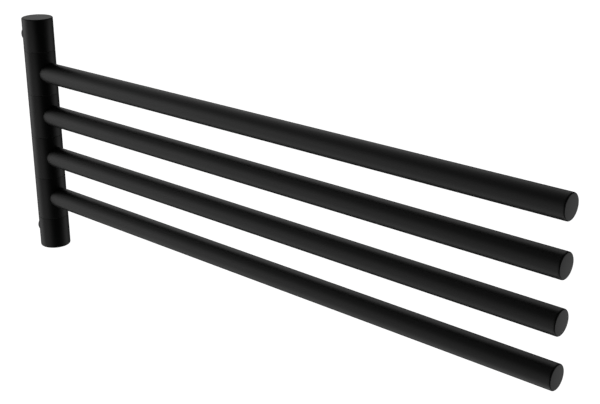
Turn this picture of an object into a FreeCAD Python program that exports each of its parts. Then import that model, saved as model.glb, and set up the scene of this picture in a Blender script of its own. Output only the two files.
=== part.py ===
import FreeCAD, Part
import os
from FreeCAD import Vector

# A wall-mounted towel rack with four arms that swivel about one upright post.
# The frame: origin on the wall, midway between the two wall-screw holes.
# +Z is up, +Y goes into the wall, and the arms at rest point straight out along -Y.

# ---- driving dimensions, mm
POST_DIAMETER = 22.0
POST_HEIGHT = 173.0
POST_STANDOFF = 2.0        # gap between the wall and the back of the post
POST_EDGE_RADIUS = 0.8     # on the top and bottom rims of the post

ARM_COUNT = 4
ARM_DIAMETER = 15.0
ARM_WALL = 1.0
ARM_REACH = 425.0          # from the post's axis to an arm's free end
ARM_PITCH = 31.5           # height from one arm to the next
ARM_END_RADIUS = 0.8       # on the rim of an arm's end cap

WASHER_THICKNESS = 0.3     # the height of each seam in the post
WASHER_INSET = 0.15        # how far a washer's rim sits inside the post's surface
WASHER_BORE = 8.4

AXLE_DIAMETER = 8.0
AXLE_THREAD = 6.0          # M6 ends, screwed into the two end blocks
RUNNING_CLEARANCE = 0.05   # radial, between the axle and a bush

BUSH_DIAMETER = 11.0
BUSH_LENGTH = 10.0
BUSH_FLANGE_DIAMETER = 14.0
BUSH_FLANGE = 1.0

SPRING_DIAMETER = 15.0
SPRING_BORE = 8.6
SPRING_STRIP = 0.5
SPRING_HEIGHT = 0.8        # as fitted, which is also the depth of its pocket
SPRING_PLAY = 0.4          # radial, around the spring in its pocket

WALL_SCREW_SPACING = 147.0
WALL_SCREW_HOLE = 4.6
BOSS_DIAMETER = 11.0
BOSS_LENGTH = 19.0
SCREW_HEAD_DIAMETER = 9.0
SCREW_HEAD_DEPTH = 4.0
BOSS_GROOVE_DEPTH = 0.4
BOSS_GROOVE_WIDTH = 5.4

SET_SCREW = 5.0            # M5, one through the side of each end block
SET_SCREW_Y = -12.0
SET_SCREW_SUNK = 0.5       # how far its outer end lies below the post's surface
HEX_KEY = 2.5
HEX_DEPTH = 2.2

STUD_DIAMETER = 6.0        # M6, holds an arm to its hub
STUD_LENGTH = 20.0
STUD_START = 5.9           # from the post's axis, just clear of the hub's bore
PLUG_LENGTH = 20.0
CAP_THICKNESS = 1.5
SPIGOT_LENGTH = 8.0

FIT_GAP = 0.03             # radial, drawn between pieces that are pressed or screwed together

# ---- worked out from the above
POST_R = POST_DIAMETER / 2
ARM_R = ARM_DIAMETER / 2
POST_Y = -(POST_STANDOFF + POST_R)
ARM_INNER_R = ARM_R - ARM_WALL
HUB_HEIGHT = ARM_PITCH - WASHER_THICKNESS
STACK_TOP = (ARM_COUNT * ARM_PITCH + WASHER_THICKNESS) / 2
BLOCK_HEIGHT = POST_HEIGHT / 2 - STACK_TOP
BOSS_Z = WALL_SCREW_SPACING / 2
BOSS_BORE_R = BOSS_DIAMETER / 2 + RUNNING_CLEARANCE
AXLE_END = BOSS_Z - BOSS_BORE_R - FIT_GAP
TIP_Y = POST_Y - ARM_REACH
CAP_Y = TIP_Y + CAP_THICKNESS

UP = Vector(0, 0, 1)
OUTWARD = Vector(0, -1, 0)  # from the wall into the room
SIDEWAYS = Vector(1, 0, 0)


def on_axis(z):
    """A point on the post's axis."""
    return Vector(0, POST_Y, z)


def upright(diameter, low, high):
    """A cylinder on the post's axis between two heights."""
    return Part.makeCylinder(diameter / 2, high - low, on_axis(low), UP)


def outward(diameter, z, start_y, length):
    """A cylinder that runs from start_y away from the wall."""
    return Part.makeCylinder(diameter / 2, length, Vector(0, start_y, z), OUTWARD)


def rim(shape, centre):
    """The circular edges of a shape about one point."""
    circles = [edge for edge in shape.Edges if isinstance(edge.Curve, Part.Circle)]
    return [edge for edge in circles if edge.Curve.Center.distanceToPoint(centre) < 1e-6]


def end_block(side):
    """The fixed top (side 1) or bottom (side -1) of the post, which hangs on a wall boss."""
    inner, outer = side * STACK_TOP, side * POST_HEIGHT / 2
    low, high = sorted((inner, outer))
    block = upright(POST_DIAMETER, low, high)
    block = block.makeFillet(POST_EDGE_RADIUS, rim(block, on_axis(outer)))
    boss_bore = outward(2 * BOSS_BORE_R, side * BOSS_Z, 0, BOSS_LENGTH)
    low, high = sorted((inner, side * BOSS_Z))
    axle_thread = upright(AXLE_THREAD, low, high)
    screw_thread = Part.makeCylinder(
        SET_SCREW / 2, POST_R, Vector(0, SET_SCREW_Y, side * BOSS_Z), SIDEWAYS)
    return block.cut(boss_bore).cut(axle_thread).cut(screw_thread)


def spring_pocket():
    """The space below the lowest washer where the disc spring lies."""
    return upright(SPRING_DIAMETER + 2 * SPRING_PLAY, -STACK_TOP - SPRING_HEIGHT, -STACK_TOP)


def disc_spring():
    """A conical spring washer that keeps the stack of hubs pressed together."""
    bottom = -STACK_TOP - SPRING_HEIGHT
    inner, outer = SPRING_BORE / 2, SPRING_DIAMETER / 2
    section = Part.makePolygon([
        Vector(inner, POST_Y, bottom),
        Vector(outer, POST_Y, bottom + SPRING_HEIGHT - SPRING_STRIP),
        Vector(outer, POST_Y, bottom + SPRING_HEIGHT),
        Vector(inner, POST_Y, bottom + SPRING_STRIP),
        Vector(inner, POST_Y, bottom),
    ])
    return Part.Face(section).revolve(on_axis(0), UP, 360)


def axle():
    """The ground rod that every arm turns on, with an M6 thread at each end."""
    rod = upright(AXLE_DIAMETER, -STACK_TOP - SPRING_HEIGHT, STACK_TOP)
    return rod.fuse(upright(AXLE_THREAD - 2 * FIT_GAP, -AXLE_END, AXLE_END)).removeSplitter()


def thrust_washer(seam):
    """A thin nylon ring in one seam of the post, counted from the top."""
    high = STACK_TOP - seam * ARM_PITCH
    low = high - WASHER_THICKNESS
    ring = upright(POST_DIAMETER - 2 * WASHER_INSET, low, high)
    return ring.cut(upright(WASHER_BORE, low, high))


def wall_boss(side):
    """The turned stub that is screwed to the wall first, and then carries an end block."""
    z = side * BOSS_Z
    boss = outward(BOSS_DIAMETER, z, 0, BOSS_LENGTH)
    screw_hole = outward(WALL_SCREW_HOLE, z, 0, BOSS_LENGTH)
    head_recess = outward(
        SCREW_HEAD_DIAMETER, z, SCREW_HEAD_DEPTH - BOSS_LENGTH, SCREW_HEAD_DEPTH)
    groove_y = SET_SCREW_Y + BOSS_GROOVE_WIDTH / 2
    groove = outward(2 * BOSS_DIAMETER, z, groove_y, BOSS_GROOVE_WIDTH).cut(
        outward(BOSS_DIAMETER - 2 * BOSS_GROOVE_DEPTH, z, groove_y, BOSS_GROOVE_WIDTH))
    return boss.cut(screw_hole).cut(head_recess).cut(groove)


def set_screw(side):
    """A hex-socket grub screw whose flat end grips in the boss's groove."""
    start = BOSS_DIAMETER / 2 - BOSS_GROOVE_DEPTH + FIT_GAP
    end = POST_R - SET_SCREW_SUNK
    centre = Vector(0, SET_SCREW_Y, side * BOSS_Z)
    screw = Part.makeCylinder(
        SET_SCREW / 2 - FIT_GAP, end - start, centre + SIDEWAYS * start, SIDEWAYS)
    corner = Vector(0, 0, HEX_KEY / 3 ** 0.5)
    corners = [
        FreeCAD.Rotation(SIDEWAYS, 60 * turn).multVec(corner) + centre + SIDEWAYS * (end - HEX_DEPTH)
        for turn in range(7)
    ]
    socket = Part.Face(Part.makePolygon(corners)).extrude(SIDEWAYS * HEX_DEPTH)
    return screw.cut(socket)


def swivel_hub(z):
    """The turning ring of the post that one arm is fixed to."""
    low, high = z - HUB_HEIGHT / 2, z + HUB_HEIGHT / 2
    seat = BUSH_FLANGE_DIAMETER + 2 * FIT_GAP
    hub = upright(POST_DIAMETER, low, high)
    hub = hub.cut(upright(BUSH_DIAMETER + 2 * FIT_GAP, low, high))
    hub = hub.cut(upright(seat, low, low + BUSH_FLANGE))
    hub = hub.cut(upright(seat, high - BUSH_FLANGE, high))
    return hub.cut(outward(STUD_DIAMETER, z, POST_Y, POST_DIAMETER))


def flanged_bush(z, side):
    """A nylon bush in the upper (side 1) or lower (side -1) end of a hub."""
    face = z + side * HUB_HEIGHT / 2
    low, high = sorted((face, face - side * BUSH_LENGTH))
    sleeve = upright(BUSH_DIAMETER, low, high)
    flange_low, flange_high = sorted((face, face - side * BUSH_FLANGE))
    bush = sleeve.fuse(upright(BUSH_FLANGE_DIAMETER, flange_low, flange_high)).removeSplitter()
    return bush.cut(upright(AXLE_DIAMETER + 2 * RUNNING_CLEARANCE, low, high))


def hub_surface(z):
    """What the root of an arm is cut away to, so that it seats on the round hub."""
    return upright(POST_DIAMETER + 2 * FIT_GAP, z - ARM_DIAMETER, z + ARM_DIAMETER)


def arm_stud(z):
    """The M6 stud between a hub and the plug in its arm."""
    return outward(STUD_DIAMETER - 2 * FIT_GAP, z, POST_Y - STUD_START, STUD_LENGTH)


def arm_root_plug(z):
    """The threaded plug fixed in the root of an arm."""
    plug = outward(2 * (ARM_INNER_R - FIT_GAP), z, POST_Y, POST_R + PLUG_LENGTH)
    thread_end = STUD_START + STUD_LENGTH + 1
    return plug.cut(hub_surface(z)).cut(outward(STUD_DIAMETER, z, POST_Y, thread_end))


def arm_tube(z):
    """The round tube that the towel hangs on."""
    length = POST_Y - CAP_Y
    tube = outward(ARM_DIAMETER, z, POST_Y, length)
    return tube.cut(outward(2 * ARM_INNER_R, z, POST_Y, length)).cut(hub_surface(z))


def arm_end_cap(z):
    """The disc that closes the free end of an arm, on a spigot inside the tube."""
    disc = outward(ARM_DIAMETER, z, CAP_Y, CAP_THICKNESS)
    disc = disc.makeFillet(ARM_END_RADIUS, rim(disc, Vector(0, TIP_Y, z)))
    spigot = outward(2 * (ARM_INNER_R - FIT_GAP), z, CAP_Y + SPIGOT_LENGTH, SPIGOT_LENGTH)
    return disc.fuse(spigot).removeSplitter()


def fixed_pieces():
    """Everything that stays still: the post's ends, its axle, the seams and the wall bosses."""
    pieces = {"axle": axle(), "disc_spring": disc_spring()}
    for name, side in (("upper", 1), ("lower", -1)):
        pieces[name + "_end_block"] = end_block(side)
        pieces[name + "_wall_boss"] = wall_boss(side)
        pieces[name + "_set_screw"] = set_screw(side)
    pieces["lower_end_block"] = pieces["lower_end_block"].cut(spring_pocket())
    for seam in range(ARM_COUNT + 1):
        pieces[f"thrust_washer_{seam + 1}"] = thrust_washer(seam)
    return pieces


def arm_pieces(number):
    """One swinging arm with its hub, counted from the top."""
    z = ((ARM_COUNT + 1) / 2 - number) * ARM_PITCH
    return {
        f"swivel_hub_{number}": swivel_hub(z),
        f"upper_bush_{number}": flanged_bush(z, 1),
        f"lower_bush_{number}": flanged_bush(z, -1),
        f"arm_stud_{number}": arm_stud(z),
        f"arm_root_plug_{number}": arm_root_plug(z),
        f"arm_tube_{number}": arm_tube(z),
        f"arm_end_cap_{number}": arm_end_cap(z),
    }


def main():
    os.makedirs("parts", exist_ok=True)
    pieces = fixed_pieces()
    for number in range(1, ARM_COUNT + 1):
        pieces.update(arm_pieces(number))
    for name, shape in pieces.items():
        solid = shape.Solids[0]
        if len(shape.Solids) != 1 or not solid.isValid():
            raise ValueError(f"{name} is not one valid solid")
        solid.exportStep(f"parts/{name}.step")
        print(f"{name:18s} {solid.Volume / 1000:8.3f} cm3")


main()
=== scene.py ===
# %% [markdown]
# # A wall-mounted towel rack with swinging arms
#
# The rack is a slim upright post with four round arms. Each arm is fixed to its own turning ring
# of the post, so it can be swung to either side. Everything that shows is steel under a fine
# matt black powder coat.
#
# The engineering model is loaded first. It gives every place and size, so this file only has to
# make surfaces that look like the real ones and put them where the model says.

# %% Load the engineering model
import bpy
import math
from mathutils import Matrix, Vector


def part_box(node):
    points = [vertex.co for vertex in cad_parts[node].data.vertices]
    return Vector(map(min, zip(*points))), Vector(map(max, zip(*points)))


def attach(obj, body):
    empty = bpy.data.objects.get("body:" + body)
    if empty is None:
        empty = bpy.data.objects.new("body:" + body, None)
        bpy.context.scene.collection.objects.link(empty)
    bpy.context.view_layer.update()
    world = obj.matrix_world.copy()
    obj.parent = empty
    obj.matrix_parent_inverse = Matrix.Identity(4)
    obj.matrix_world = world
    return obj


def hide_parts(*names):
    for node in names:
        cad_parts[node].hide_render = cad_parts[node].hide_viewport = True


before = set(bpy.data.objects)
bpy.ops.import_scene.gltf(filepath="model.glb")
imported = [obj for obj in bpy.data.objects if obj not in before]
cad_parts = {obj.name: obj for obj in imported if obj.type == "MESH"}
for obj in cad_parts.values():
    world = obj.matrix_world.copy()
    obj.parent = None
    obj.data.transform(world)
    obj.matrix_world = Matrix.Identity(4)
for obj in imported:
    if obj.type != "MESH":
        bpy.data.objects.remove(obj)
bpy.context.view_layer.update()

scene = bpy.context.scene

# %% [markdown]
# ## Reading the sizes
#
# A turned piece needs only its radius, its two ends and its axis. All of them come from the boxes
# of the engineering pieces, so if the design changes, the looks follow.

# %% Sizes of the post and the arms
ARM_COUNT = sum(name.startswith("arm_tube_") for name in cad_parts)
ARM_NUMBERS = range(1, ARM_COUNT + 1)
SEAM_COUNT = ARM_COUNT + 1


def middle(node):
    """The centre of a piece's box."""
    low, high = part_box(node)
    return (low + high) / 2


def extent(node):
    """The size of a piece's box along X, Y and Z."""
    low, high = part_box(node)
    return high - low


POST_RADIUS = extent("upper_end_block").x / 2
POST_Y = middle("upper_end_block").y
ARM_RADIUS = extent("arm_end_cap_1").x / 2
CAP_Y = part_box("arm_tube_1")[0].y
TIP_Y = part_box("arm_end_cap_1")[0].y
print(f"post {2000 * POST_RADIUS:.1f} mm, arm {2000 * ARM_RADIUS:.1f} mm across")

# %% [markdown]
# ## A short way to write node trees
#
# Blender's node trees are drawn by hand in its editor, but a script can write them like sums.
# `Signal` wraps one output socket and turns + - * / into Math nodes. `NodeMaker` adds any other
# node: its settings first, then the values or links of its sockets. Both serve for shaders and
# for Geometry Nodes, which share the Math node.

# %% Signal and NodeMaker


class Signal:
    """One output of a node tree. Sums on it add Math nodes."""

    def __init__(self, maker, socket):
        self.maker = maker
        self.socket = socket

    def math(self, operation, *values):
        return self.maker.node("ShaderNodeMath", {"operation": operation}, dict(enumerate(values)))

    def __add__(self, other):
        return self.math("ADD", self, other)

    def __radd__(self, other):
        return self.math("ADD", other, self)

    def __sub__(self, other):
        return self.math("SUBTRACT", self, other)

    def __rsub__(self, other):
        return self.math("SUBTRACT", other, self)

    def __mul__(self, other):
        return self.math("MULTIPLY", self, other)

    def __rmul__(self, other):
        return self.math("MULTIPLY", other, self)

    def __truediv__(self, other):
        return self.math("DIVIDE", self, other)

    def __gt__(self, other):
        return self.math("GREATER_THAN", self, other)

    def root(self):
        return self.math("SQRT", self)

    def exponential(self):
        return self.math("EXPONENT", self)


class NodeMaker:
    """Adds nodes to one tree."""

    def __init__(self, tree):
        self.tree = tree

    def node(self, kind, settings=None, sockets=None, output=0):
        made = self.tree.nodes.new(kind)
        for name, value in (settings or {}).items():
            setattr(made, name, value)
        for name, value in (sockets or {}).items():
            self.feed(made.inputs[name], value)
        return Signal(self, made.outputs[output])

    def feed(self, socket, value):
        if isinstance(value, Signal):
            self.tree.links.new(value.socket, socket)
        else:
            socket.default_value = value


# %% [markdown]
# ## Geometry recipes
#
# A recipe is a Geometry Nodes tree with a named input for each size. It is run once for each
# piece, and the result is kept as a plain mesh, so that one recipe serves all the arms, and
# another all the rings. The modifier is gone before the piece is fixed to its body.

# %% Making and running a recipe


def start_recipe(name, sizes):
    """A new tree: its maker, and its inputs by name. Count inputs are named in capitals."""
    tree = bpy.data.node_groups.new(name, "GeometryNodeTree")
    tree.interface.new_socket("Geometry", in_out="OUTPUT", socket_type="NodeSocketGeometry")
    for size, kind in sizes.items():
        tree.interface.new_socket(size, in_out="INPUT", socket_type="NodeSocket" + kind)
    maker = NodeMaker(tree)
    entry = tree.nodes.new("NodeGroupInput")
    inputs = {size: Signal(maker, entry.outputs[size]) for size in sizes}
    return maker, inputs


def end_recipe(maker, geometry, material):
    """Every recipe ends with real geometry that has its material."""
    real = maker.node("GeometryNodeRealizeInstances", sockets={"Geometry": geometry})
    painted = maker.node("GeometryNodeSetMaterial", sockets={"Geometry": real, "Material": material})
    exit_node = maker.tree.nodes.new("NodeGroupOutput")
    maker.feed(exit_node.inputs[0], painted)
    return maker.tree


def add_object(name, mesh):
    piece = bpy.data.objects.new(name, mesh)
    scene.collection.objects.link(piece)
    return piece


def run_recipe(recipe, name, sizes):
    """Evaluates a recipe with its sizes and returns a plain mesh."""
    holder = add_object(name + "_recipe", bpy.data.meshes.new(name))
    modifier = holder.modifiers.new("recipe", "NODES")
    modifier.node_group = recipe
    for item in recipe.interface.items_tree:
        if item.in_out == "INPUT":
            modifier[item.identifier] = sizes[item.name]
    evaluated = holder.evaluated_get(bpy.context.evaluated_depsgraph_get())
    mesh = bpy.data.meshes.new_from_object(evaluated)
    bpy.data.objects.remove(holder)
    only_material(mesh, mesh.materials[-1])
    return mesh


SHARPEST_SMOOTH = math.radians(30)


def smooth_but_for_edges(mesh):
    """Round faces are shaded smooth, flat ends stay flat, and a real edge stays crisp."""
    square_on = math.cos(math.radians(0.1))
    for face in mesh.polygons:
        face.use_smooth = max(abs(part) for part in face.normal) < square_on
    mesh.set_sharp_from_angle(angle=SHARPEST_SMOOTH)


def only_material(mesh, material):
    """Leaves a mesh with one material slot, which all its faces use."""
    mesh.materials.clear()
    mesh.materials.append(material)
    for face in mesh.polygons:
        face.material_index = 0


def finish_piece(name, mesh, body, nodes):
    """Names a mesh, fixes it to its body and says which engineering pieces it stands for."""
    smooth_but_for_edges(mesh)
    piece = add_object(name, mesh)
    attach(piece, body)
    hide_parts(*nodes)
    print(f"{name}: {len(mesh.polygons)} faces, stands for {', '.join(nodes)}")
    return piece


# %% [markdown]
# ## Black powder coat
#
# Powder coat is dry paint that is melted onto the steel. It flows a little before it sets, so
# the surface keeps a shallow ripple, the orange peel, about two millimetres from crest to crest,
# and over it the finer grain that makes it matt. Both are bumps too small to model. The coat is
# nearly black with a trace of green, and its gloss drifts slightly from place to place.

# %% The powder coat
PEEL_SIZE = 0.0022
GRAIN_SIZE = 0.00035
PEEL_HEIGHT = 0.000006
GRAIN_HEIGHT = 0.0000025


def new_material(name, **constants):
    """A material with one Principled shader: its maker and that shader."""
    material = bpy.data.materials.new(name)
    material.use_nodes = True
    maker = NodeMaker(material.node_tree)
    shader = material.node_tree.nodes["Principled BSDF"]
    for socket, value in constants.items():
        shader.inputs[socket.replace("_", " ")].default_value = value
    return material, maker, shader


def cloud(maker, size, detail):
    """Soft noise with patches of one size, from 0 to 1, on the piece's own coordinates."""
    place = maker.node("ShaderNodeTexCoord", output="Object")
    return maker.node(
        "ShaderNodeTexNoise", sockets={"Vector": place, "Scale": 1 / size, "Detail": detail})


def between(maker, mask, dark, light):
    """A colour that goes from dark to light as the mask goes from 0 to 1."""
    return maker.node(
        "ShaderNodeMix", {"data_type": "RGBA"},
        {"Factor": mask, 6: (*dark, 1), 7: (*light, 1)}, output=2)


def rough_surface(maker, shader, height):
    """Bends the shader's normal by a height in metres."""
    bump = maker.node("ShaderNodeBump", sockets={"Height": height, "Distance": 1.0})
    maker.feed(shader.inputs["Normal"], bump)


def powder_coat(name, dark, light, roughness):
    material, maker, shader = new_material(name, Specular_IOR_Level=0.3)
    drift = cloud(maker, 0.03, 3)
    peel = cloud(maker, PEEL_SIZE, 1)
    grain = cloud(maker, GRAIN_SIZE, 2)
    maker.feed(shader.inputs["Base Color"], between(maker, drift, dark, light))
    maker.feed(shader.inputs["Roughness"], roughness + 0.05 * (drift - 0.5) + 0.04 * (grain - 0.5))
    rough_surface(maker, shader, peel * PEEL_HEIGHT + grain * GRAIN_HEIGHT)
    return material


COAT = powder_coat("matt_black_coat", (0.0010, 0.0012, 0.0011), (0.0016, 0.0018, 0.0017), 0.42)
print("powder coat ready")

# %% [markdown]
# ## Arm tubes
#
# An arm is a straight tube. Its root is cut to a saddle so that it sits on the round ring that
# carries it. A tube is a rule in two sizes: a small square outline, from the bore to the outside,
# is swept once round a circle. Then the points at the root slide along the arm until they lie
# on the ring's surface, which is a cylinder across the arm: height = root of R squared less x
# squared. Doing it as a recipe gives all four arms exactly the same cut.

# %% The tube recipe
SIDES = 96
TINY = 1e-5
TUBE_WALL = 0.001


def tube_recipe():
    """A tube along -Y, whose foot fits a cylinder of radius Saddle about the Z axis through 0."""
    maker, size = start_recipe("arm_tube_recipe", {
        "Length": "Float", "Radius": "Float", "Wall": "Float", "Saddle": "Float", "Axis": "Vector"})
    circle = maker.node("GeometryNodeCurvePrimitiveCircle", sockets={
        "Resolution": SIDES, "Radius": size["Radius"] - size["Wall"] / 2})
    outline = maker.node("GeometryNodeCurvePrimitiveQuadrilateral", sockets={
        "Width": size["Wall"], "Height": size["Length"]})
    tube = maker.node("GeometryNodeCurveToMesh",
                      sockets={"Curve": circle, "Profile Curve": outline})
    centre = maker.node("ShaderNodeCombineXYZ", sockets={"Y": size["Length"] / -2})
    tube = maker.node("GeometryNodeTransform", sockets={
        "Geometry": tube, "Rotation": (math.radians(90), 0, 0), "Translation": centre})
    tube = cut_saddle(maker, tube, size["Saddle"])
    tube = maker.node("GeometryNodeTransform",
                      sockets={"Geometry": tube, "Translation": size["Axis"]})
    return end_recipe(maker, tube, COAT)


def cut_saddle(maker, tube, saddle):
    """Slides the points of the foot, which are those at Y = 0, onto the saddle's cylinder."""
    place = maker.node("GeometryNodeInputPosition")
    across = maker.node("ShaderNodeSeparateXYZ", sockets={"Vector": place}, output="X")
    along = maker.node("ShaderNodeSeparateXYZ", sockets={"Vector": place}, output="Y")
    slide = (saddle * saddle - across * across).root()
    offset = maker.node("ShaderNodeCombineXYZ", sockets={"Y": 0 - slide})
    return maker.node("GeometryNodeSetPosition", sockets={
        "Geometry": tube, "Selection": along > -TINY, "Offset": offset})


ARM_TUBE = tube_recipe()
ARM_LENGTH = POST_Y - CAP_Y
for number in ARM_NUMBERS:
    node = f"arm_tube_{number}"
    mesh = run_recipe(ARM_TUBE, node, {
        "Length": ARM_LENGTH, "Radius": ARM_RADIUS, "Wall": TUBE_WALL, "Saddle": POST_RADIUS,
        "Axis": (0, POST_Y, middle(node).z)})
    finish_piece(f"painted_arm_{number}", mesh, f"swing_arm_{number}", [node])

# %% [markdown]
# ## Turned pieces
#
# The rings of the post, its two ends and the arms' caps would all be turned on a lathe, and they
# are drawn the way a lathe works: half an outline, spun about the axis. An outline is a list of
# (radius, height) points, and a corner is rounded by replacing it with a short arc. Even a sharp
# corner gets a tenth of a millimetre, because paint never has a knife edge and that line of light
# along an edge is what makes a surface look real.

# %% The lathe
ARC_STEPS = 6


def rounded(corner, before, after, radius):
    """The points of an arc that rounds a square corner between two neighbours."""
    corner, before, after = Vector(corner), Vector(before), Vector(after)
    inward = (before - corner).normalized() * radius
    onward = (after - corner).normalized() * radius
    centre = corner + inward + onward
    turns = [math.pi / 2 * step / ARC_STEPS for step in range(ARC_STEPS + 1)]
    return [tuple(centre - onward * math.cos(turn) - inward * math.sin(turn)) for turn in turns]


def outline_of(points):
    """Points as (radius, height) or (radius, height, rounding), with the rounding worked out."""
    flat = [point[:2] for point in points]
    outline = []
    for i, point in enumerate(points):
        if len(point) == 3:
            after = flat[(i + 1) % len(flat)]
            outline += rounded(flat[i], flat[i - 1], after, point[2])
        else:
            outline.append(flat[i])
    return outline


def turn(outline, place, axis):
    """Spins a closed outline about an axis through a place. Points on the axis become poles."""
    across = Vector(axis).orthogonal().normalized()
    other = Vector(axis).cross(across)
    vertices, rings = [], []
    for radius, height in outline:
        steps = range(SIDES if radius > 0 else 1)
        rings.append([len(vertices) + step for step in steps])
        for step in steps:
            angle = 2 * math.pi * step / SIDES
            direction = across * math.cos(angle) + other * math.sin(angle)
            vertices.append(place + Vector(axis) * height + direction * radius)
    faces = []
    for i, ring in enumerate(rings):
        following = rings[(i + 1) % len(rings)]
        if len(ring) == 1 and len(following) == 1:
            continue
        for step in range(SIDES):
            after = (step + 1) % SIDES
            corners = [ring[step % len(ring)], ring[after % len(ring)],
                       following[after % len(following)], following[step % len(following)]]
            faces.append(list(dict.fromkeys(corners)))
    mesh = bpy.data.meshes.new("turned")
    mesh.from_pydata(vertices, [], faces)
    mesh.materials.append(COAT)
    return mesh


print("lathe ready")

# %% [markdown]
# ## The turning rings
#
# Each ring of the post is a short sleeve, bored for two flanged bushes that run on the axle. The
# outline goes up the outside, down through the upper seat, the bore and the lower seat, and back.
# A hole through the front takes the stud that holds the arm, cut out with a Boolean.

# %% Rings
EDGE = 0.00012
BUSH_RADIUS = 0.0055
FLANGE_RADIUS = extent("upper_bush_1").x / 2
FLANGE = 0.001
STUD_RADIUS = extent("arm_stud_1").x / 2
OUTWARD = (0, -1, 0)
SIDEWAYS = (1, 0, 0)
RING_HEIGHT = extent("swivel_hub_1").z


def post_axis(height):
    return Vector((0, POST_Y, height))


def drill(radius, start, axis, depth):
    """The solid that a drill would remove."""
    return turn([(0, 0), (radius, 0), (radius, depth), (0, depth)], Vector(start), axis)


def cut(mesh, *drills):
    """Takes drilled holes out of a mesh."""
    piece = add_object("being_drilled", mesh)
    tools = [add_object("drill", tool) for tool in drills]
    for tool in tools:
        boolean = piece.modifiers.new("hole", "BOOLEAN")
        boolean.object = tool
        boolean.operation = "DIFFERENCE"
        boolean.solver = "EXACT"
    drilled = bpy.data.meshes.new_from_object(
        piece.evaluated_get(bpy.context.evaluated_depsgraph_get()))
    for used in [piece, *tools]:
        bpy.data.objects.remove(used)
    only_material(drilled, COAT)
    return drilled


def ring_outline():
    half = RING_HEIGHT / 2
    return outline_of([
        (POST_RADIUS, -half, EDGE), (POST_RADIUS, half, EDGE),
        (FLANGE_RADIUS, half), (FLANGE_RADIUS, half - FLANGE),
        (BUSH_RADIUS, half - FLANGE), (BUSH_RADIUS, FLANGE - half),
        (FLANGE_RADIUS, FLANGE - half), (FLANGE_RADIUS, -half)])


for number in ARM_NUMBERS:
    node = f"swivel_hub_{number}"
    centre = post_axis(middle(node).z)
    ring = turn(ring_outline(), centre, (0, 0, 1))
    ring = cut(ring, drill(STUD_RADIUS, centre, OUTWARD, 2 * POST_RADIUS))
    finish_piece(f"painted_ring_{number}", ring, f"swing_arm_{number}", [node])

# %% [markdown]
# ## The arms' caps
#
# A cap is a disc with a soft rim, on a spigot that is pressed into the tube. The rim's radius is
# the only thing that shows how the arm ends, so it gets the real one, eight tenths of a
# millimetre, and a perfectly flat face inside it.

# %% Caps
CAP_RIM = 0.0008
DISC = CAP_Y - TIP_Y
SPIGOT = extent("arm_end_cap_1").y - DISC
SPIGOT_RADIUS = ARM_RADIUS - TUBE_WALL


def cap_outline():
    return outline_of([
        (0, -SPIGOT), (SPIGOT_RADIUS, -SPIGOT), (SPIGOT_RADIUS, 0), (ARM_RADIUS, 0),
        (ARM_RADIUS, DISC, CAP_RIM), (0, DISC)])


for number in ARM_NUMBERS:
    node = f"arm_end_cap_{number}"
    cap = turn(cap_outline(), Vector((0, CAP_Y, middle(node).z)), OUTWARD)
    finish_piece(f"painted_cap_{number}", cap, f"swing_arm_{number}", [node])

# %% [markdown]
# ## The fixed ends of the post
#
# The top and the bottom of the post don't turn. Each has a bore in its back for the stub on the
# wall, a threaded hole in its side for the grub screw that locks it there, and a hole in its
# inner face for the axle. The lower one also has a shallow pocket for the disc spring.

# %% End blocks
BLOCK_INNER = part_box("upper_end_block")[0].z
BLOCK_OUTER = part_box("upper_end_block")[1].z
POST_RIM = 0.0008
BOSS_Z = middle("upper_wall_boss").z
BOSS_RADIUS = extent("upper_wall_boss").x / 2
BOSS_LENGTH = extent("upper_wall_boss").y
BOSS_PLAY = 0.00005
AXLE_THREAD_RADIUS = 0.003
SCREW_Y = middle("upper_set_screw").y
SCREW_THREAD_RADIUS = 0.0025
POCKET_RADIUS = extent("disc_spring").x / 2 + 0.0004
POCKET_DEPTH = extent("disc_spring").z


def block_outline(pocket_depth):
    inner = [(AXLE_THREAD_RADIUS, BLOCK_INNER + pocket_depth)]
    if pocket_depth:
        inner += [(POCKET_RADIUS, BLOCK_INNER + pocket_depth), (POCKET_RADIUS, BLOCK_INNER)]
    return outline_of([
        (0, BOSS_Z), (AXLE_THREAD_RADIUS, BOSS_Z), *inner,
        (POST_RADIUS, BLOCK_INNER, EDGE), (POST_RADIUS, BLOCK_OUTER, POST_RIM), (0, BLOCK_OUTER)])


for name, side, pocket_depth in (("upper", 1, 0), ("lower", -1, POCKET_DEPTH)):
    block = turn(block_outline(pocket_depth), post_axis(0), (0, 0, side))
    block = cut(
        block,
        drill(BOSS_RADIUS + BOSS_PLAY, (0, 0, side * BOSS_Z), OUTWARD, BOSS_LENGTH),
        drill(SCREW_THREAD_RADIUS, (0, SCREW_Y, side * BOSS_Z), SIDEWAYS, 2 * POST_RADIUS))
    finish_piece(f"painted_{name}_block", block, "root", [f"{name}_end_block"])

# %% [markdown]
# ## Wall stubs
#
# A stub is screwed to the wall before anything else. It is a turned sleeve: a hole for the screw,
# a recess for its head, and a groove round the outside that the grub screw grips. Only its last
# two millimetres show, between the wall and the post, and its edge there is broken.

# %% Wall stubs
WALL_SCREW_RADIUS = 0.0023
HEAD_RADIUS = 0.0045
HEAD_DEPTH = 0.004
GROOVE_DEPTH = 0.0004
GROOVE_START, GROOVE_END = 0.0093, 0.0147
STUB_EDGE = 0.0003


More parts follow.
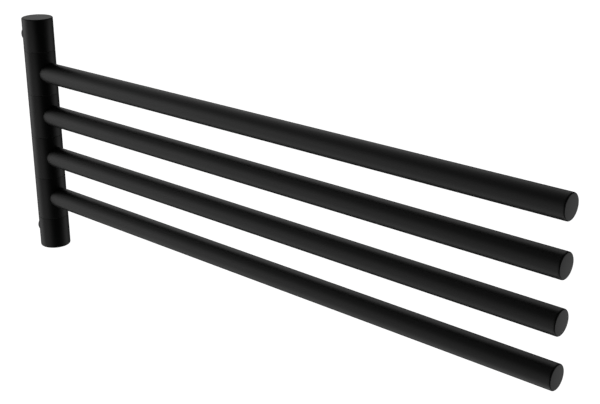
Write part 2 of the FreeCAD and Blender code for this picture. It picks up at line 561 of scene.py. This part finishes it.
def stub_outline():
    return outline_of([
        (WALL_SCREW_RADIUS, 0), (BOSS_RADIUS, 0, STUB_EDGE),
        (BOSS_RADIUS, GROOVE_START), (BOSS_RADIUS - GROOVE_DEPTH, GROOVE_START),
        (BOSS_RADIUS - GROOVE_DEPTH, GROOVE_END), (BOSS_RADIUS, GROOVE_END),
        (BOSS_RADIUS, BOSS_LENGTH, STUB_EDGE), (HEAD_RADIUS, BOSS_LENGTH),
        (HEAD_RADIUS, BOSS_LENGTH - HEAD_DEPTH), (WALL_SCREW_RADIUS, BOSS_LENGTH - HEAD_DEPTH)])


for name, side in (("upper", 1), ("lower", -1)):
    stub = turn(stub_outline(), Vector((0, 0, side * BOSS_Z)), OUTWARD)
    finish_piece(f"painted_{name}_stub", stub, "root", [f"{name}_wall_boss"])

# %% [markdown]
# ## Seam washers
#
# Between any two rings lies a thin nylon washer, a hair smaller than the post, which keeps paint
# off paint. It shows only as a faint dark line. Five equal washers at equal heights are a line of
# points with the same ring on each, which is what instances are for.

# %% The seam washer recipe
WASHER_BORE_RADIUS = 0.0042


def washer_recipe():
    maker, size = start_recipe("seam_washers", {
        "Outer radius": "Float", "Inner radius": "Float", "Thickness": "Float",
        "Count": "Int", "Pitch": "Float", "Top": "Vector"})
    width = size["Outer radius"] - size["Inner radius"]
    circle = maker.node("GeometryNodeCurvePrimitiveCircle", sockets={
        "Resolution": SIDES, "Radius": size["Inner radius"] + width / 2})
    outline = maker.node("GeometryNodeCurvePrimitiveQuadrilateral", sockets={
        "Width": width, "Height": size["Thickness"]})
    washer = maker.node("GeometryNodeCurveToMesh",
                        sockets={"Curve": circle, "Profile Curve": outline})
    step = maker.node("ShaderNodeCombineXYZ", sockets={"Z": 0 - size["Pitch"]})
    seams = maker.node("GeometryNodeMeshLine", sockets={
        "Count": size["Count"], "Start Location": size["Top"], "Offset": step})
    washers = maker.node("GeometryNodeInstanceOnPoints",
                         sockets={"Points": seams, "Instance": washer})
    return end_recipe(maker, washers, NYLON)


def moulded_plastic(name, dark, light, roughness):
    """A moulded plastic: an even colour, with the faint mottle of the mould's spark finish."""
    material, maker, shader = new_material(name)
    mottle = cloud(maker, 0.0012, 2)
    maker.feed(shader.inputs["Base Color"], between(maker, mottle, dark, light))
    maker.feed(shader.inputs["Roughness"], roughness + 0.08 * (mottle - 0.5))
    rough_surface(maker, shader, cloud(maker, 0.0003, 1) * 0.000002)
    return material


NYLON = moulded_plastic("seam_nylon", (0.004, 0.004, 0.004), (0.007, 0.007, 0.007), 0.6)
WASHER_NODES = [f"thrust_washer_{number}" for number in range(1, SEAM_COUNT + 1)]
washers = run_recipe(washer_recipe(), "washers", {
    "Outer radius": extent("thrust_washer_1").x / 2, "Inner radius": WASHER_BORE_RADIUS,
    "Thickness": extent("thrust_washer_1").z, "Count": SEAM_COUNT,
    "Pitch": middle("thrust_washer_1").z - middle("thrust_washer_2").z,
    "Top": middle("thrust_washer_1")})
finish_piece("nylon_seam_washers", washers, "root", WASHER_NODES)

# %% [markdown]
# ## Grub screws
#
# A grub screw has no head, only a hexagon socket in its end. The recipe makes one screw lying
# along X, takes the hexagon out of it, and puts a copy at each of the two holes.

# %% The grub screw recipe
HEX_ACROSS_FLATS = 0.0025
HEX_DEPTH = 0.0022


def lying_prism(maker, sides, radius, length, centre):
    """A prism along X with its middle at a distance from 0."""
    prism = maker.node("GeometryNodeMeshCylinder", sockets={
        "Vertices": sides, "Radius": radius, "Depth": length})
    place = maker.node("ShaderNodeCombineXYZ", sockets={"X": centre})
    return maker.node("GeometryNodeTransform", sockets={
        "Geometry": prism, "Rotation": (0, math.radians(90), 0), "Translation": place})


def grub_screw_recipe():
    maker, size = start_recipe("grub_screws", {
        "Radius": "Float", "Length": "Float", "Hex": "Float", "Hex depth": "Float",
        "Spacing": "Float", "Top": "Vector"})
    body = lying_prism(maker, 48, size["Radius"], size["Length"], 0.0)
    socket = lying_prism(
        maker, 6, size["Hex"] / math.sqrt(3), size["Hex depth"] * 2, size["Length"] / 2)
    screw = maker.node("GeometryNodeMeshBoolean", {"operation": "DIFFERENCE", "solver": "EXACT"},
                       {"Mesh 1": body, "Mesh 2": socket})
    step = maker.node("ShaderNodeCombineXYZ", sockets={"Z": 0 - size["Spacing"]})
    holes = maker.node("GeometryNodeMeshLine", sockets={
        "Count": 2, "Start Location": size["Top"], "Offset": step})
    screws = maker.node("GeometryNodeInstanceOnPoints",
                        sockets={"Points": holes, "Instance": screw})
    return end_recipe(maker, screws, BLACK_OXIDE)


def worked_metal(name, dark, light, roughness, mark_size, mark_height):
    """Bare metal with the marks of its making, and a gloss that varies with them."""
    material, maker, shader = new_material(name, Metallic=1.0)
    place = maker.node("ShaderNodeTexCoord", output="Object")
    stretched = maker.node("ShaderNodeMapping", sockets={"Vector": place, "Scale": mark_size})
    marks = maker.node("ShaderNodeTexNoise", sockets={
        "Vector": stretched, "Scale": 1.0, "Detail": 4.0, "Roughness": 0.6})
    maker.feed(shader.inputs["Base Color"], between(maker, marks, dark, light))
    maker.feed(shader.inputs["Roughness"], roughness + 0.15 * (marks - 0.5))
    rough_surface(maker, shader, marks * mark_height)
    return material


BLACK_OXIDE = worked_metal(
    "black_oxide", (0.02, 0.02, 0.022), (0.05, 0.05, 0.053), 0.4, (900, 900, 900), 0.000002)
screws = run_recipe(grub_screw_recipe(), "screws", {
    "Radius": extent("upper_set_screw").y / 2, "Length": extent("upper_set_screw").x,
    "Hex": HEX_ACROSS_FLATS, "Hex depth": HEX_DEPTH, "Spacing": 2 * BOSS_Z,
    "Top": middle("upper_set_screw")})
finish_piece("black_grub_screws", screws, "root", ["upper_set_screw", "lower_set_screw"])

# %% [markdown]
# ## The parts inside
#
# The axle, bushes, studs, plugs and spring are inside the post and never show, but someone may
# take the rack apart. Their engineering shapes are already right, so they only get a finish:
# ground and turned steel has fine marks round it, aluminium is softer and paler, and the bushes
# are plain white acetal.

# %% Finishes of the inner parts
GROUND_STEEL = worked_metal(
    "ground_stainless", (0.52, 0.52, 0.51), (0.66, 0.66, 0.65), 0.28, (300, 300, 9000), 0.0000015)
SPRING_STEEL = worked_metal(
    "spring_steel", (0.20, 0.19, 0.18), (0.34, 0.33, 0.31), 0.35, (700, 700, 700), 0.000002)
TURNED_ALUMINIUM = worked_metal(
    "turned_aluminium", (0.72, 0.72, 0.73), (0.84, 0.84, 0.85), 0.34, (300, 7000, 300), 0.000003)
ACETAL = moulded_plastic("white_acetal", (0.76, 0.75, 0.71), (0.84, 0.83, 0.79), 0.45)
INNER_FINISHES = {
    "axle": GROUND_STEEL, "disc_spring": SPRING_STEEL, "arm_stud": GROUND_STEEL,
    "arm_root_plug": TURNED_ALUMINIUM, "upper_bush": ACETAL, "lower_bush": ACETAL}

for node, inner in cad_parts.items():
    for start, finish in INNER_FINISHES.items():
        if node.startswith(start):
            inner.data.materials.clear()
            inner.data.materials.append(finish)
print(len(INNER_FINISHES), "kinds of inner part finished")

# %% [markdown]
# ## Camera
#
# The rack is seen from its left and a little above, with the arms coming towards the viewer. A
# longer lens than usual keeps them nearly parallel. The camera has a place in metres, and it faces
# along a compass direction and a slope, with hardly any roll.

# %% The camera
CAMERA_PLACE = Vector((-0.4767, -0.6805, 0.2428))
CAMERA_AZIMUTH = math.radians(-48.649)
CAMERA_ELEVATION = math.radians(20.385)
CAMERA_ROLL = math.radians(0.164)
LENS_MM = 67.97


def camera_rotation():
    """Columns are the camera's right, up and backward directions."""
    back = Vector((
        math.sin(CAMERA_AZIMUTH) * math.cos(CAMERA_ELEVATION),
        -math.cos(CAMERA_AZIMUTH) * math.cos(CAMERA_ELEVATION),
        math.sin(CAMERA_ELEVATION)))
    right = Vector((0, 0, 1)).cross(back).normalized()
    level = Matrix((right, back.cross(right), back)).transposed()
    return level @ Matrix.Rotation(-CAMERA_ROLL, 3, "Z")


lens = bpy.data.cameras.new("camera")
lens.lens = LENS_MM
lens.sensor_width = 36.0
lens.sensor_fit = "HORIZONTAL"
lens.clip_start = 0.01
camera = bpy.data.objects.new("camera", lens)
scene.collection.objects.link(camera)
camera.matrix_world = Matrix.Translation(CAMERA_PLACE) @ camera_rotation().to_4x4()
scene.camera = camera
print("camera", [round(part, 3) for part in CAMERA_PLACE])

# %% [markdown]
# ## Studio
#
# A black object is seen by what it reflects, so plain soft lights stand round it, all of one size:
# one on each side, a strong one behind on the left, two high ones and a low one behind, one below
# and a faint one in front. That leaves light rims on both sides of every tube and a deep band down
# the middle of the post. Each light is a soft spot on the world's sphere, brightest at its centre and
# fading with the angle from it. The picture's white ground is for the camera only, because white
# all round would turn the black paint grey.

# %% Soft boxes
# Each box: its compass direction and height in degrees, and its brightness.
TIGHTNESS = 12
SIDE = 0.9
SOFT_BOXES = {
    "behind on the left": (-150, 0, 2 * SIDE),
    "left": (-90, -20, SIDE),
    "right": (60, -20, SIDE),
    "high on the right": (135, 30, SIDE),
    "high behind": (180, 45, SIDE / 2),
    "low behind": (-150, -45, SIDE),
    "below": (0, -90, 2 * SIDE),
    "in front": (0, 30, SIDE / 4),
}


def toward(azimuth, elevation):
    """A direction: azimuth 0 is out of the wall, 90 is to its right."""
    azimuth, elevation = math.radians(azimuth), math.radians(elevation)
    return Vector((math.sin(azimuth) * math.cos(elevation),
                   -math.cos(azimuth) * math.cos(elevation), math.sin(elevation)))


def soft_box(maker, view, azimuth, elevation, brightness):
    """Light that is brightest in one direction and fades round it."""
    nearness = maker.node("ShaderNodeVectorMath", {"operation": "DOT_PRODUCT"},
                          {0: view, 1: toward(azimuth, elevation)}, output="Value")
    return ((nearness - 1) * TIGHTNESS).exponential() * brightness


def studio_world():
    world = bpy.data.worlds.new("studio")
    world.use_nodes = True
    maker = NodeMaker(world.node_tree)
    view = maker.node("ShaderNodeTexCoord", output="Generated")
    light = 0.0
    for box in SOFT_BOXES.values():
        light = soft_box(maker, view, *box) + light
    lit = maker.node("ShaderNodeBackground", sockets={"Color": (1, 1, 1, 1), "Strength": light})
    white = maker.node("ShaderNodeBackground", sockets={"Color": (1, 1, 1, 1), "Strength": 1.0})
    seen = maker.node("ShaderNodeLightPath", output="Is Camera Ray")
    mixed = maker.node("ShaderNodeMixShader", sockets={0: seen, 1: lit, 2: white})
    maker.feed(world.node_tree.nodes["World Output"].inputs["Surface"], mixed)
    return world


scene.world = studio_world()
scene.view_settings.view_transform = "Standard"
print(len(SOFT_BOXES), "soft boxes")

# %% [markdown]
# ## Floor
#
# The floor is plain white paper, well below the rack. It glows as brightly as the ground behind it,
# and only the camera sees it, so it takes no shadow and neither reflects in the paint nor shades it.

# %% The floor
FLOOR_DROP = 0.9
FLOOR_SIZE = 12.0


def paper(name, grey, glow):
    material, _, shader = new_material(name, Roughness=1.0, Emission_Strength=glow)
    shader.inputs["Base Color"].default_value = (grey, grey, grey, 1)
    shader.inputs["Emission Color"].default_value = (1, 1, 1, 1)
    return material


half = FLOOR_SIZE / 2
floor_mesh = bpy.data.meshes.new("floor")
floor_mesh.from_pydata(
    [(x * half, y * half, -FLOOR_DROP) for x, y in ((-1, -1), (1, -1), (1, 1), (-1, 1))],
    [], [(0, 1, 2, 3)])
floor_mesh.materials.append(paper("floor_paper", 0.5, 1.0))
floor = add_object("floor", floor_mesh)
floor.visible_diffuse = False
floor.visible_glossy = False
floor.visible_shadow = False
print("floor", FLOOR_DROP, "m below the middle of the post")
